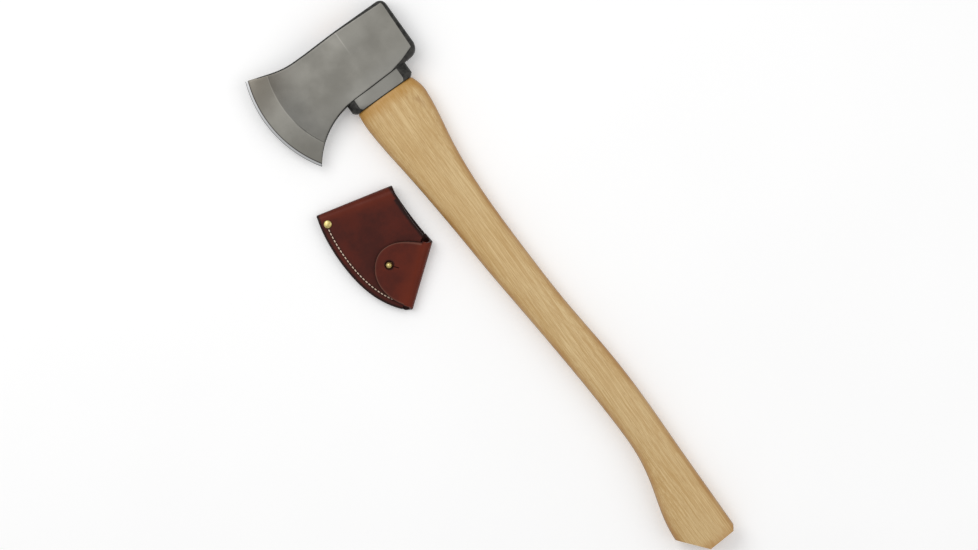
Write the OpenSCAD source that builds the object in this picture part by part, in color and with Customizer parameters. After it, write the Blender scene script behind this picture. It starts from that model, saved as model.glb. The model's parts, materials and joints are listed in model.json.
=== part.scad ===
// Forest hatchet lying on its side, with its leather blade sheath beside the handle.
// X runs from the cutting edge (-) to the poll (+), Y up along the eye, Z up from the resting plane.
// The origin is the eye's centre, on the cheek that the head rests on.

/* [Head] */
// Thickness of the head across its cheeks
head_t = 28; // [26:0.5:30]
// Distance from the eye's centre to the poll's striking face
poll_x = 51.7; // [48:0.1:54]
// Radius of the curved cutting edge
edge_r = 118; // [110:1:126]
// Height of the head's top edge above the eye's centre
head_top = 37.9; // [36:0.1:40]
// Radius of the hollow under the bit
under_r = 75.4; // [73:0.1:78]
// Width of the sharpened bevel along the edge
bevel_w = 2.3; // [1.5:0.1:4]
// Width of the forged chamfer round the cheeks
chamfer = 2.2; // [1:0.1:3]

/* [Eye and collar] */
// Length of the eye, poll to bit
eye_l = 53; // [48:0.5:56]
// Width of the eye
eye_w = 17; // [15:0.5:19]
// Length of the collar below the cheeks
collar_l = 68; // [66:0.5:70]
// Width of the collar
collar_w = 25.2; // [24:0.2:27]
// How far the collar hangs below the eye's centre
collar_drop = 38; // [36:0.5:40]

/* [Handle] */
// Distance from the eye's centre to the far end of the knob
handle_drop = 562; // [540:1:580]
// Thickness of the handle where it meets the collar
shoulder_t = 25; // [22:0.5:27]
// Thickness of the grip
grip_t = 22.5; // [20:0.5:25]
// Thickness of the knob at the end
knob_t = 27.8; // [26:0.2:27.8]

/* [Wedges] */
// Thickness of the wooden wedge at its driven end
wedge_t = 4.6; // [3:0.1:6]
// Depth that the wooden wedge is driven
wedge_depth = 46; // [35:1:55]
// Width of the steel cross wedge
steel_w = 13; // [10:0.5:14]
// Depth of the steel cross wedge
steel_depth = 17; // [12:0.5:22]

/* [Sheath] */
// Thickness of the leather
leather = 3.2; // [2.4:0.1:3.6]
// Thickness of the welt sewn into the seam
welt = 3; // [2:0.1:4]
// Height of the sheath at its open mouth
mouth_h = 16; // [13:0.5:19]
// Distance of the stitch line from the sewn edge
stitch_in = 6.3; // [5:0.1:8]
// Number of stitches along the seam
stitches = 27; // [20:1:27]
// Diameter of the rivet's head
rivet_d = 7.5; // [6:0.1:9]
// Diameter of the button stud's ball
ball_d = 6; // [5:0.1:6.4]

/* [Hidden] */

mid_z = head_t / 2;              // middle plane of the head and handle
fit = 0.1;                       // gap between pieces that are driven or sewn together
edge_c = [12, 7];                // centre of the cutting edge's arc
toe_a = 159.3;                   // arc angle of the upper end of the edge
heel_a = 213.6;                  // arc angle of the lower end of the edge
far = 400;                       // longer than anything that is cut
past_end = handle_drop + 6;      // where the uncut knob would end

steel_grey = [0.52, 0.51, 0.48];
hickory = [0.82, 0.70, 0.50];
brown = [0.36, 0.15, 0.11];
dark_brown = [0.20, 0.08, 0.06];
brass = [0.75, 0.67, 0.35];
cream = [0.88, 0.80, 0.70];

// ---- shared curves ----

// Points along an arc from angle a0 to a1
function arc(c, r, a0, a1, n) = [for (i = [0:n]) let (a = a0 + (a1 - a0) * i / n) c + r * [cos(a), sin(a)]];

// Point on a cubic Bezier curve
function bez(p, t) = pow(1 - t, 3) * p[0] + 3 * pow(1 - t, 2) * t * p[1] + 3 * (1 - t) * t * t * p[2]
    + pow(t, 3) * p[3];

function turn_left(d) = [-d[1], d[0]];
function unit(d) = d / norm(d);

// Oval of length l and width w; a power of 2 is an ellipse, and more is squarer
function spow(v, e) = sign(v) * pow(abs(v), e);
function oval(l, w, power, n) = [for (i = [0:n - 1]) [l / 2 * spow(cos(360 * i / n), 2 / power),
    w / 2 * spow(sin(360 * i / n), 2 / power)]];

// Smooth value through a table of [y, value] rows, y falling
function hermite(a, b, ma, mb, h, t) = (2 * pow(t, 3) - 3 * t * t + 1) * a
    + (pow(t, 3) - 2 * t * t + t) * h * ma
    + (3 * t * t - 2 * pow(t, 3)) * b + (pow(t, 3) - t * t) * h * mb;
function slope_at(tab, i) = i == 0 ? (tab[1][1] - tab[0][1]) / (tab[1][0] - tab[0][0])
    : i == len(tab) - 1 ? (tab[i][1] - tab[i - 1][1]) / (tab[i][0] - tab[i - 1][0])
    : (tab[i + 1][1] - tab[i - 1][1]) / (tab[i + 1][0] - tab[i - 1][0]);
function span_of(tab, y, i = 0) = i >= len(tab) - 2 || y >= tab[i + 1][0] ? i : span_of(tab, y, i + 1);
function smooth(tab, y) = let (i = span_of(tab, y), h = tab[i + 1][0] - tab[i][0])
    hermite(tab[i][1], tab[i + 1][1], slope_at(tab, i), slope_at(tab, i + 1), h, (y - tab[i][0]) / h);

// ---- head ----

module head_side() {
    under_c = [-24.3, -101.3];
    polygon(concat(
        arc([poll_x - 11, -12.5], 11, -90, 0, 8),
        arc([poll_x - 7, head_top - 7], 7, 0, 90, 6),
        [[-6, head_top], [-38, head_top - 0.8]],
        arc([-50, head_top + 78.2], 79, -90, -107.7, 6),
        arc(edge_c, edge_r + 1, toe_a, heel_a, 24),
        arc(under_c, under_r, 145.3, 94.7, 16)));
}

// Half plan from above the eye: parallel cheeks, then a taper to the bit
module cheek_taper() {
    half = [[poll_x + 1, head_t / 2], [-6, head_t / 2], [-20, 12.3], [-35, 9.4], [-50, 6.6], [-70, 4.3],
        [-88, 2.8], [-110, 1.6]];
    translate([0, 60, mid_z]) rotate([90, 0, 0]) linear_extrude(125)
        polygon(concat(half, [for (i = [len(half) - 1:-1:0]) [half[i][0], -half[i][1]]]));
}

// Ground faces and sharpened bevel, turned about the centre of the edge's arc
module edge_grind() {
    grind = [[edge_r, 0.05], [edge_r - bevel_w, 0.8], [edge_r - 22, 3.2], [edge_r - 38, 20], [0, 20]];
    translate([edge_c[0], edge_c[1], mid_z]) rotate_extrude($fn = 96)
        polygon(concat(grind, [for (i = [len(grind) - 1:-1:0]) [grind[i][0], -grind[i][1]]]));
}

// Removes the corner between a cheek and a side wall that passes through p and faces along angle a
module chamfer_cut(p, a) {
    depth = chamfer * sqrt(0.5);
    for (side = [-1, 1])
        translate([p[0], p[1], mid_z + side * mid_z]) rotate([0, 0, a]) rotate([0, side * 45, 0])
            translate([-20, -60, side < 0 ? -20 : -depth]) cube([40, 120, 20 + depth]);
}

module collar_block() {
    cut = 3; // corner taken off the lower ends
    difference() {
        translate([0, -20, mid_z]) rotate([90, 0, 0]) linear_extrude(collar_drop - 20)
            polygon(oval(collar_l, collar_w, 3.2, 48));
        for (side = [-1, 1])
            translate([side * (collar_l / 2), -(collar_drop - cut), -1]) rotate([0, 0, side < 0 ? 225 : -45])
                translate([0, -20, 0]) cube([20, 40, head_t + 2]);
    }
}

module eye_prism(gap) {
    translate([0, 60, mid_z]) rotate([90, 0, 0]) linear_extrude(120)
        polygon(oval(eye_l - 2 * gap, eye_w - 2 * gap, 2.3, 40));
}

module head() {
    color(steel_grey) difference() {
        union() {
            difference() {
                intersection() {
                    translate([0, 0, -1]) linear_extrude(head_t + 2) head_side();
                    cheek_taper();
                    edge_grind();
                }
                chamfer_cut([poll_x, 0], 0);
                chamfer_cut([0, head_top], 90);
                chamfer_cut([poll_x - 2, head_top - 2], 45);
                chamfer_cut([poll_x - 3.2, -20.2], -45);
            }
            collar_block();
        }
        eye_prism(0);
    }
}

// ---- handle and wedges ----

// Front edge, back edge and thickness of the handle as [y, value]; the knob runs on past its cut end
front = [[-38.2, -30], [-52, -31.1], [-72, -30.2], [-120, -24.8], [-180, -19.7], [-230, -16.4],
    [-290, -11.1], [-340, -7], [-390, -3.8], [-440, -2.2], [-460, -4], [-480, -8.2], [-510, -17],
    [-530, -20.6], [-545, -21], [-past_end, -20]];
back = [[-38.2, 31], [-48, 34.6], [-56, 35.4], [-74, 33.8], [-110, 27.3], [-150, 23.7], [-190, 23],
    [-240, 24.1], [-290, 26.1], [-340, 30.7], [-380, 33.4], [-420, 33.9], [-470, 33.2],
    [-540, 32.8], [-past_end, 32.4]];
thick = [[-38.2, shoulder_t], [-60, shoulder_t + 1], [-110, grip_t + 1], [-200, grip_t], [-400, grip_t],
    [-470, grip_t + 1.5], [-520, knob_t - 0.5], [-540, knob_t], [-past_end, knob_t - 1]];
stations = concat([-38.2, -42, -47, -54, -64, -76], [for (i = [0:15]) -90 - i * 23],
    [for (i = [0:11]) -450 - i * 9.6], [-past_end]);

// One closed ring of the handle, n points, at height y
function ring(x0, x1, t, power, y, n) =
    [for (p = oval(x1 - x0, t, power, n)) [(x0 + x1) / 2 + p[0], y, mid_z + p[1]]];

module handle_body() {
    n = 36;
    half_l = eye_l / 2 - fit;
    tongue = [for (y = [head_top - 0.3, -38.2]) ring(-half_l, half_l, eye_w - 2 * fit, 2.3, y, n)];
    grip = [for (y = stations) let (power = y < -500 ? 2.6 : 2.3)
        ring(smooth(front, y), smooth(back, y), smooth(thick, y), power, y, n)];
    rings = concat(tongue, grip);
    last = len(rings) - 1;
    polyhedron(
        points = [for (r = rings) for (p = r) p],
        faces = concat(
            [[for (i = [0:n - 1]) i]],
            [for (k = [0:last - 1]) for (i = [0:n - 1])
                [k * n + i, (k + 1) * n + i, (k + 1) * n + (i + 1) % n, k * n + (i + 1) % n]],
            [[for (i = [n - 1:-1:0]) last * n + i]]));
}

// Wedge that is t thick at the top of the eye and narrows downwards
// A gap above 0 gives the slot that it fills
module wedge_shape(t, tip_t, depth, length, gap) {
    top = head_top - 0.3;
    over = gap > 0 ? 5 : 0;       // a slot runs on past the top
    top_half = t / 2 + gap + over * (t - tip_t) / (2 * depth);
    tip_half = tip_t / 2 + gap;
    translate([-length / 2, 0, mid_z]) rotate([90, 0, 90]) linear_extrude(length)
        polygon([[top + over, top_half], [top - depth - gap, tip_half], [top - depth - gap, -tip_half],
            [top + over, -top_half]]);
}

module wood_kerf(gap) wedge_shape(wedge_t, 1, wedge_depth, 2 * eye_l, gap);

module steel_slot(gap) {
    translate([0, 0, mid_z]) rotate([0, 90, 0]) translate([0, 0, -mid_z])
        wedge_shape(2.4, 0.6, steel_depth, steel_w + 2 * gap, gap);
}

// Removes the knob beyond a plane through p that faces along angle a
module knob_cut(p, a) {
    translate([p[0], p[1], -1]) rotate([0, 0, a]) translate([0, -60, 0]) cube([60, 120, head_t + 2]);
}

module handle() {
    color(hickory) difference() {
        handle_body();
        knob_cut([16, -handle_drop + 0.4], -87);
        knob_cut([-8, -handle_drop + 11], -139.6);
        knob_cut([31, -handle_drop + 4], -35);
        wood_kerf(fit / 2);
        steel_slot(fit / 2);
    }
}

module wood_wedge() {
    color(hickory * 0.9) difference() {
        intersection() {
            wood_kerf(0);
            eye_prism(fit);
        }
        steel_slot(fit / 2);
    }
}

module steel_wedge() color(steel_grey * 0.8) steel_slot(0);

// ---- sheath layout ----

seam_h = 2 * leather + welt;            // height of the sewn edge
tip = [-95.4, -217];                    // where the seam meets the flap's fold
fold_end = [-42.5, -175.7];             // mouth end of the flap's fold
top_left = [-117.6, -92.4];             // seam end of the top fold
top_right = [-43.8, -110.2];            // mouth end of the top fold
rivet_at = [-113.4, -105.3];
stud_at = [-88.4, -170];
seam_curve = [top_left, [-129, -126], [-129.6, -193.7], tip];
top_dir = unit(top_right - top_left);
fold_dir = unit(fold_end - tip);
down = -turn_left(top_dir);             // inwards from the top fold
inward = turn_left(fold_dir);           // inwards from the flap's fold

// The mouth is a shallow hollow curve between its two ends
mouth_dip = 2.1;
mouth_chord = norm(top_right - fold_end);
mouth_r = (pow(mouth_chord / 2, 2) + pow(mouth_dip, 2)) / (2 * mouth_dip);
mouth_c = (top_right + fold_end) / 2 - (mouth_r - mouth_dip) * turn_left(unit(top_right - fold_end));

// The front leaf is level beyond the seam's chord, then rises to the mouth
chord_n = -turn_left(unit(top_left - tip));
rise = (mouth_h - seam_h) / ((top_right - tip) * chord_n);
function front_h(p) = seam_h + max(0, rise * ((p - tip) * chord_n));

flap_gap = 0.3;                          // air between the front leaf and the flap
round_up = 0.2;                          // a fold is this much rounder than the leaf that it turns into
top_h = front_h(top_right) + round_up;   // height of the top fold at the mouth
bend_h = front_h(fold_end) + flap_gap + leather + round_up;

// Seam length, and the seam's curve parameter at a distance along it
seam_steps = 60;
function seam_step(i) = norm(bez(seam_curve, (i + 1) / seam_steps) - bez(seam_curve, i / seam_steps));
seam_run = [for (i = 0, s = 0; i <= seam_steps; s = s + seam_step(i), i = i + 1) [s, i / seam_steps]];
function seam_point(s, inset) = let (t = lookup(s, seam_run), e = 0.01,
    d = unit(bez(seam_curve, min(1, t + e)) - bez(seam_curve, max(0, t - e))))
    bez(seam_curve, t) + turn_left(d) * inset;

// Band along the seam between two insets, from distance s0 to s1
function seam_band(s0, s1, a, b, n) = concat([for (i = [0:n]) seam_point(s0 + (s1 - s0) * i / n, a)],
    [for (i = [n:-1:0]) seam_point(s0 + (s1 - s0) * i / n, b)]);

function flap_uv(p) = tip + p[0] * fold_dir + p[1] * inward;

// At distance b in from the flap's fold: the seam's curve parameter,
// and a point on the mouth's arc of radius r
seam_ends = [for (i = [0:20]) [(bez(seam_curve, 1 - i / 60) - tip) * inward, 1 - i / 60]];
function seam_t(b) = lookup(b, seam_ends);
function on_mouth(b, r) = let (a = tip + inward * b - mouth_c, m = a * fold_dir)
    mouth_c + a - (m + sqrt(m * m - a * a + r * r)) * fold_dir;

// Outline of a leaf that is inset t from the top fold and b from the flap's fold
function leaf_points(t, b) =
    let (q0 = on_mouth(b, mouth_r) - mouth_c, q1 = top_right + down * t - mouth_c,
        a0 = 180 - asin(q0[1] / mouth_r), a1 = 180 - asin(q1[1] / mouth_r))
    concat([top_left + down * t], [for (i = [1:24]) bez(seam_curve, i / 24 * seam_t(b))],
        arc(mouth_c, mouth_r, a0, a1, 8));

// Everything under the front leaf's outer face, lowered by h
module under_front(h) {
    at_chord() {
        translate([-far / 2, -far / 2, -far]) cube([far, far, far + seam_h - h]);
        translate([0, 0, seam_h - h]) rotate([0, -atan(rise), 0]) translate([-far / 2, -far / 2, -far])
            cube([far, far, far]);
    }
}

module at_chord() translate([tip[0], tip[1], 0]) rotate([0, 0, atan2(chord_n[1], chord_n[0])]) children();

// Places a fitting square to the front leaf's rising face
module on_front(p) {
    translate([p[0], p[1], front_h(p)]) rotate([0, 0, atan2(chord_n[1], chord_n[0])])
        rotate([0, -atan(rise), 0]) children();
}

// Turns the Z axis along a fold line, with X inwards over the leather and Y up
module at_fold(p, dir, side) {
    translate([p[0], p[1], 0]) rotate([0, 0, atan2(dir[1], dir[0])]) mirror([0, side > 0 ? 0 : 1, 0])
        rotate([90, 0, 90]) children();
}

// Space under a half-round fold of height h, shrunk by t; it runs from the fold inwards for a length
module under_fold(p, dir, side, h, t, length, past) {
    r = h / 2;
    at_fold(p, dir, side) translate([0, 0, -past]) linear_extrude(norm(fold_end - tip) + 60 + 2 * past)
        polygon(concat(arc([r, r], r - t, 90, 270, 14), [[r + length, t], [r + length, h - t]]));
}

// ---- sheath leather ----

thread_w = 0.6;
hole_r = 0.5;
groove_w = 1.3;
groove_d = 0.85;
stitch_s0 = 16;       // distance along the seam to the first stitch hole
pitch = 3.9;          // stitch length
stitch_s1 = stitch_s0 + stitches * pitch;

module stitch_holes() {
    for (i = [0:stitches]) {
        p = seam_point(stitch_s0 + i * pitch, stitch_in);
        translate([p[0], p[1], -1]) cylinder(h = seam_h + 2, r = hole_r, $fn = 16);
    }
}

module stitch_grooves() {
    for (z = [groove_d - 2, seam_h - groove_d])
        translate([0, 0, z]) linear_extrude(2)
            polygon(seam_band(stitch_s0 - 1, stitch_s1 + 1, stitch_in - groove_w / 2,
                stitch_in + groove_w / 2, 24));
}

module rivet_hole() {
    translate([rivet_at[0], rivet_at[1], -1]) cylinder(h = seam_h + 3, r = 1.7, $fn = 32);
    translate([rivet_at[0], rivet_at[1], -1]) cylinder(h = 1.75, r = rivet_d / 2 + 0.1, $fn = 48);
}

module sheath_pocket() {
    mouth_in = 1.5;    // how much the front leaf is cut back at the mouth
    color(brown) difference() {
        intersection() {
            linear_extrude(far) polygon(leaf_points(-1, bend_h / 2));
            under_fold(top_left, top_dir, -1, top_h, 0, far, 60);
            under_front(0);
        }
        intersection() {
            under_fold(top_left, top_dir, -1, top_h, leather, far, 60);
            under_front(leather);
        }
        translate([0, 0, 2 * leather]) linear_extrude(far) polygon(concat(
            arc(mouth_c, mouth_r + mouth_in, 195, 165, 12), [[0, top_right[1] + 20], [0, fold_end[1] - 20]]));
        rivet_hole();
        on_front(stud_at) translate([0, 0, -leather - 2]) cylinder(h = leather + 4, r = 1.6, $fn = 32);
        stitch_holes();
        stitch_grooves();
    }
}

// Ends of the bend at its axis: under the sheath it follows the seam and the mouth, on top the flap's edge
bend_len = norm(fold_end - tip);
under_ends = [(bez(seam_curve, seam_t(bend_h / 2)) - tip) * fold_dir,
    (on_mouth(bend_h / 2, mouth_r) - tip) * fold_dir];
flap_ends = [2, bend_len - 3.6];

// Quadrilateral beside the flap's fold from just outside it to v inwards, u0 and u1 being its ends at both
function fold_quad(v, out, at_v) = [flap_uv([out[0], -1]), flap_uv([out[1], -1]), flap_uv([at_v[1], v]),
    flap_uv([at_v[0], v])];

// The turn of leather that joins the pocket's back leaf to the flap
module sheath_bend() {
    back_off = 0.05;   // air between the bend and the leaves it joins
    r = bend_h / 2;
    color(brown) difference() {
        intersection() {
            linear_extrude(far) polygon(fold_quad(r - back_off, [0.3, bend_len - 0.7], under_ends));
            under_fold(tip, fold_dir, 1, bend_h, 0, 1, 60);
            under_front(-flap_gap - leather);
        }
        intersection() {
            under_fold(tip, fold_dir, 1, bend_h, leather, 1, 60);
            under_front(-flap_gap);
        }
        translate([0, 0, r - 0.3]) linear_extrude(far)
            polygon(fold_quad(r, [bend_len + 0.2, bend_len + 20], [flap_ends[1], bend_len + 20]));
        translate([0, 0, r - 0.3]) linear_extrude(far)
            polygon(fold_quad(r, [-20, -0.4], [-20, flap_ends[0]]));
    }
}

module sheath_flap() {
    reach = 46.5;     // distance of the flap's far edge from its fold
    middle = 35.5;    // where along the fold it reaches furthest
    mouth_side = [[flap_ends[1], bend_h / 2], [61.5, 29], [52, reach], [middle, reach]];
    seam_side = [[middle, reach], [14, reach], [3, 27], [flap_ends[0], bend_h / 2]];
    hole_r = 4.4;     // hole that passes the stud's ball, with a slit towards the fold
    slit_w = 0.8;
    slit_l = 10;
    color(brown) difference() {
        intersection() {
            linear_extrude(far) polygon(concat([for (i = [0:16]) flap_uv(bez(mouth_side, i / 16))],
                [for (i = [1:16]) flap_uv(bez(seam_side, i / 16))]));
            under_front(-flap_gap - leather);
        }
        under_front(-flap_gap);
        on_front(stud_at) {
            translate([0, 0, -1]) cylinder(h = 10, r = hole_r, $fn = 48);
            rotate([0, 0, atan2(-inward[1], -inward[0]) - atan2(chord_n[1], chord_n[0])])
                translate([0, -slit_w / 2, -1]) cube([slit_l, slit_w, 10]);
        }
    }
}

module sheath_welt() {
    welt_w = 11;
    from_top = 9;     // its ends stop short of both folds
    from_tip = 12;
    color(dark_brown) difference() {
        translate([0, 0, leather + fit / 2]) linear_extrude(welt - fit)
            polygon(seam_band(from_top, seam_run[seam_steps][0] - from_tip, 0.2, welt_w, 24));
        rivet_hole();
        stitch_holes();
    }
}

// ---- thread, rivet and stud ----

// One thread loop lying along X from a hole at the origin, its legs reaching down through the leather
module thread_loop(length, drop) {
    leg = 0.35;       // two loops share each hole, so a leg takes less than half of it
    bar = 0.8;
    gap = 0.03;
    translate([0, thread_w / 2, 0]) rotate([90, 0, 0]) linear_extrude(thread_w)
        polygon([[gap, 0], [length - gap, 0], [length - gap, -drop], [length - gap - leg, -drop],
            [length - gap - leg, -bar], [gap + leg, -bar], [gap + leg, -drop], [gap, -drop]]);
}

module seam_stitches() {
    sunk = 0.05;      // depth of the thread below the leather's face
    color(cream) for (i = [0:stitches - 1]) {
        p = seam_point(stitch_s0 + i * pitch, stitch_in);
        q = seam_point(stitch_s0 + (i + 1) * pitch, stitch_in) - p;
        translate([p[0], p[1], 0]) rotate([0, 0, atan2(q[1], q[0])]) {
            translate([0, 0, seam_h - sunk]) thread_loop(norm(q), seam_h / 2 - 0.1);
            translate([0, 0, sunk]) mirror([0, 0, 1]) thread_loop(norm(q), seam_h / 2 - 0.1);
        }
    }
}

module rivet_cap() {
    r = rivet_d / 2;
    dome = 1.3;
    base = front_h(rivet_at) + rise * r + 0.02; // clear of the leaf where it starts to rise
    ball = (r * r + dome * dome) / (2 * dome);
    color(brass) translate([rivet_at[0], rivet_at[1], base]) difference() {
        union() {
            intersection() {
                translate([0, 0, dome - ball + 0.4]) sphere(r = ball, $fn = 96);
                cylinder(h = 4, r = r, $fn = 48);
            }
            translate([0, 0, -5]) cylinder(h = 5.3, r = 1.6, $fn = 32);
        }
        translate([0, 0, -6]) cylinder(h = 6, r = 1.1, $fn = 32);
    }
}

module rivet_post() {
    color(brass) translate([rivet_at[0], rivet_at[1], 0.05]) {
        cylinder(h = 0.65, r = rivet_d / 2, $fn = 48);
        cylinder(h = seam_h - 0.6, r = 1, $fn = 32);
    }
}

stud_neck = 1.5;
ball_z = 5;           // height of the ball's centre above the front leaf

module button_stud() {
    color(brass) on_front(stud_at) difference() {
        union() {
            translate([0, 0, -leather + 0.1]) cylinder(h = leather + ball_z, r = stud_neck, $fn = 32);
            translate([0, 0, ball_z]) sphere(d = ball_d, $fn = 64);
        }
        translate([0, 0, -leather]) cylinder(h = leather + 2, r = 1.05, $fn = 24);
    }
}

module stud_screw() {
    head_h = 0.9;
    color(brass) on_front(stud_at) difference() {
        union() {
            translate([0, 0, -leather - head_h]) cylinder(h = head_h - 0.02, r = 2.9, $fn = 48);
            translate([0, 0, -leather - 0.1]) cylinder(h = leather + 1.6, r = 1, $fn = 24);
        }
        translate([-4, -0.35, -leather - head_h - 1]) cube([8, 0.7, 1.4]);
    }
}

head();
handle();
wood_wedge();
steel_wedge();
sheath_pocket();
sheath_bend();
sheath_flap();
sheath_welt();
seam_stitches();
rivet_cap();
rivet_post();
button_stud();
stud_screw();
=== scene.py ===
"""Forest hatchet beside its leather blade sheath: the visible surfaces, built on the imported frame.

Every length inside the functions is in millimetres in the frame's own axes: X from the cutting edge to the
poll, Y up along the eye, Z up from the resting plane. Meshes are turned into metres when they are made.
"""

import json
import math

import bmesh
import bpy
import numpy as np
from mathutils import Matrix, Vector, noise
from mathutils.bvhtree import BVHTree


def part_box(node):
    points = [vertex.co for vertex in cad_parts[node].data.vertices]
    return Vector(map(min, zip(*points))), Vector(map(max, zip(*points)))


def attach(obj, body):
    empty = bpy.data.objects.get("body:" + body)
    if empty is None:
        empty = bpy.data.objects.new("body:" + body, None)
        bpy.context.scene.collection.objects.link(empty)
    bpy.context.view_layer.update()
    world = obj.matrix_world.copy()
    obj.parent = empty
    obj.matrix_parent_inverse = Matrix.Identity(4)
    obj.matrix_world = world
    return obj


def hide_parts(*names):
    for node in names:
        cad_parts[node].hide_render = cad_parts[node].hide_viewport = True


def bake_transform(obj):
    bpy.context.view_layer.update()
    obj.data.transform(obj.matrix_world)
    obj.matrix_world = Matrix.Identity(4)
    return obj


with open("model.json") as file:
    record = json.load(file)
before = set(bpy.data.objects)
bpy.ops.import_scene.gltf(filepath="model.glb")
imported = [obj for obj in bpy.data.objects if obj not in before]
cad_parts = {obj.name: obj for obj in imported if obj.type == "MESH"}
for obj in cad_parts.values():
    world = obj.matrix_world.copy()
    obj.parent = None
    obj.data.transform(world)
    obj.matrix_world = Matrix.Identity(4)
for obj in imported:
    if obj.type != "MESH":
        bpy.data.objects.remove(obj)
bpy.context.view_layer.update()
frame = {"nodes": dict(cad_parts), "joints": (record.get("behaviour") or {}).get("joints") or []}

MM = 0.001
UP = np.array([0.0, 0.0, 1.0])
DOWN = -UP
NEAR, OUT, FAR = 100, 200, 300      # where rays start, each outside the piece that it looks for
EYE_POWER = 2.3                     # squareness of the eye's oval, and of the tongue in it
GRIP_TOP = -38.3                    # y where the handle comes out of the collar


# ---- measuring the frame ----

def cad_tree(node):
    """The CAD node's surface, in millimetres, ready for ray casts."""
    mesh = frame["nodes"][node].data
    return BVHTree.FromPolygons([v.co / MM for v in mesh.vertices], [p.vertices[:] for p in mesh.polygons])


def hit(tree, start, way):
    """The first point that a ray meets, or None."""
    place = tree.ray_cast(Vector(start), Vector(way))[0]
    return None if place is None else np.array(place)


def cad_box_of(node):
    low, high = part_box(node)
    return np.array(low) / MM, np.array(high) / MM


def soften(values, sigma):
    """Gaussian smoothing of a row of values that keeps its ends in place."""
    reach = int(3 * sigma) + 1
    kernel = np.exp(-0.5 * (np.arange(-reach, reach + 1) / sigma) ** 2)
    left = 2 * values[0] - values[reach:0:-1]
    right = 2 * values[-1] - values[-2:-reach - 2:-1]
    return np.convolve(np.concatenate([left, values, right]), kernel / kernel.sum(), "valid")


def smoothstep(t):
    t = np.clip(t, 0, 1)
    return t * t * (3 - 2 * t)


def full_turn(count):
    return np.linspace(0, 2 * math.pi, count, endpoint=False)


def oval(length, width, power, count):
    """Closed superellipse; a power of 2 is an ellipse and more is squarer."""
    c, s = np.cos(full_turn(count)), np.sin(full_turn(count))
    return np.column_stack([length / 2 * np.sign(c) * np.abs(c) ** (2 / power),
                            width / 2 * np.sign(s) * np.abs(s) ** (2 / power)])


def level_ring(section, y, mid, x=0.0):
    """A section of the eye, collar or handle at height y, with its middle at x and mid."""
    return np.column_stack([x + section[:, 0], np.full(len(section), y), mid + section[:, 1]])


def unit(vectors):
    """The vector, or each vector of a row or grid, with a length of one."""
    return vectors / np.maximum(np.linalg.norm(vectors, axis=-1, keepdims=True), 1e-9)


def between(a, b, u):
    """Points on the straight line from a to b."""
    return a + np.multiply.outer(u, b - a)


def resample(points, count):
    """The polyline again, with evenly spaced points."""
    run = np.concatenate([[0], np.cumsum(np.linalg.norm(np.diff(points, axis=0), axis=1))])
    new = np.linspace(0, run[-1], count)
    return np.column_stack([np.interp(new, run, points[:, k]) for k in range(points.shape[1])])


def coons(left, right, bottom, top, u):
    """Grid of points (column, row) that fills four boundary curves; u is each column's place across."""
    v = np.linspace(0, 1, len(left))
    u3, v3 = u[:, None, None], v[None, :, None]
    sides = (1 - u3) * left[None] + u3 * right[None]
    ends = (1 - v3) * bottom[:, None] + v3 * top[:, None]
    corners = ((1 - u3) * ((1 - v3) * left[0] + v3 * left[-1])
               + u3 * ((1 - v3) * right[0] + v3 * right[-1]))
    return sides + ends - corners


def distance_to(line, points):
    """Shortest distance in plan from each point to a polyline."""
    a, b = line[:-1, :2], line[1:, :2]
    d = b - a
    p = points[:, None, :2] - a[None]
    t = np.clip((p * d).sum(2) / np.maximum((d * d).sum(1), 1e-12), 0, 1)
    return np.sqrt(((p - t[..., None] * d) ** 2).sum(2)).min(1)


# ---- making meshes ----

class Patches:
    """Grids of points that meet edge to edge and weld into one closed surface."""

    def __init__(self):
        self.points, self.faces, self.slots, self.count = [], [], [], 0

    def grid(self, grid, slot=0, wrap=False):
        rows, columns = grid.shape[:2]
        self.points.append(grid.reshape(-1, 3))
        for i in range(rows - 1):
            for j in range(columns if wrap else columns - 1):
                a, b = i * columns + j, i * columns + (j + 1) % columns
                self.faces.append([self.count + k for k in (a, b, b + columns, a + columns)])
                self.slots.append(slot(i, j) if callable(slot) else slot)
        self.count += rows * columns

    def cap(self, ring, slot=0):
        self.points.append(ring)
        self.faces.append(list(range(self.count, self.count + len(ring))))
        self.slots.append(slot)
        self.count += len(ring)

    def tube(self, rings, slot=0, ends=0):
        """A closed tube through rings of points, with flat ends."""
        self.grid(np.array(rings), slot, wrap=True)
        self.cap(np.array(rings[0]), ends)
        self.cap(np.array(rings[-1]), ends)

    def piece(self, name, materials, sharp=40, weld=2e-6):
        mesh = bpy.data.meshes.new(name)
        mesh.from_pydata((np.concatenate(self.points) * MM).tolist(), [], self.faces)
        mesh.polygons.foreach_set("material_index", self.slots)
        bm = bmesh.new()
        bm.from_mesh(mesh)
        bmesh.ops.remove_doubles(bm, verts=bm.verts, dist=weld)
        bmesh.ops.dissolve_degenerate(bm, edges=bm.edges, dist=weld / 2)
        bmesh.ops.recalc_face_normals(bm, faces=bm.faces)
        bm.to_mesh(mesh)
        bm.free()
        piece = bpy.data.objects.new(name, mesh)
        bpy.context.scene.collection.objects.link(piece)
        for material in materials:
            mesh.materials.append(material)
        finish_shading(piece, sharp)
        return piece


def finish_shading(piece, sharp):
    mesh = piece.data
    mesh.shade_smooth()
    mesh.set_sharp_from_angle(angle=math.radians(sharp))


def bake(piece):
    """Applies the piece's modifiers to its mesh."""
    graph = bpy.context.evaluated_depsgraph_get()
    new = bpy.data.meshes.new_from_object(piece.evaluated_get(graph), depsgraph=graph)
    piece.modifiers.clear()
    piece.data = new


def boolean(piece, cutter, operation):
    modifier = piece.modifiers.new(operation, "BOOLEAN")
    modifier.operation = operation
    modifier.solver = "MANIFOLD"
    modifier.object = cutter
    bake(piece)
    bpy.data.objects.remove(cutter)


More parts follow.
